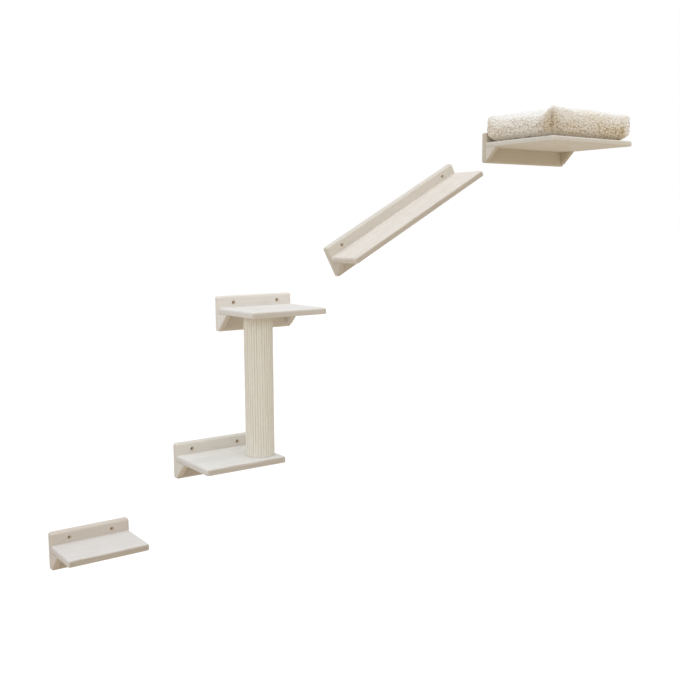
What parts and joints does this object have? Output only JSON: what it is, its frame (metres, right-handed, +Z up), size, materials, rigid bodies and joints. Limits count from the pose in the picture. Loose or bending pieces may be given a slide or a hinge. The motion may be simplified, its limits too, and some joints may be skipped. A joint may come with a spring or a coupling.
{
  "type": "cat climbing wall",
  "caption": "Wall-mounted cat climbing set: small step, scratching post between offset shelves, sloping ramp and a bed shelf with a loose looped-wool cushion.",
  "frame": {"origin": "on the wall, behind the middle of the low step's back plate", "axes": "+X along the wall to the right, +Y into the wall, +Z up"},
  "size_m": [1.9555, 0.318, 1.2733],
  "materials": {
    "washed_wood": "pale whitewashed softwood, matt, fine straight grain along the boards",
    "plug_wood": "bare turned softwood",
    "core_board": "spiral-wound paper board tube",
    "post_wrap": "pale corded sisal cloth with upright ribs",
    "cushion_cover": "cream looped lambswool pile",
    "screw_steel": "zinc-plated steel"
  },
  "bodies": {
    "root": {"low_step_back_plate": "washed_wood", "low_step_board": "washed_wood", "low_step_left_gusset": "washed_wood", "low_step_right_gusset": "washed_wood", "low_step_joint_screws": "screw_steel", "post_base_back_plate": "washed_wood", "post_base_board": "washed_wood", "post_base_left_gusset": "washed_wood", "post_base_right_gusset": "washed_wood", "post_base_joint_screws": "screw_steel", "post_head_back_plate": "washed_wood", "post_head_board": "washed_wood", "post_head_left_gusset": "washed_wood", "post_head_right_gusset": "washed_wood", "post_head_joint_screws": "screw_steel", "ramp_back_plate": "washed_wood", "ramp_board": "washed_wood", "ramp_left_gusset": "washed_wood", "ramp_right_gusset": "washed_wood", "ramp_joint_screws": "screw_steel", "bed_back_plate": "washed_wood", "bed_board": "washed_wood", "bed_left_gusset": "washed_wood", "bed_right_gusset": "washed_wood", "bed_joint_screws": "screw_steel", "post_core_tube": "core_board", "post_wrap": "post_wrap", "post_bottom_plug": "plug_wood", "post_top_plug": "plug_wood", "post_bottom_screw": "screw_steel", "post_top_screw": "screw_steel"},
    "cushion": {"bed_cushion": "cushion_cover"}
  },
  "joints": [
    {"name": "cushion_lift", "type": "slide", "parent": "root", "child": "cushion", "axis": [0, 0, 1], "range_m": [0, 0.15]}
  ]
}
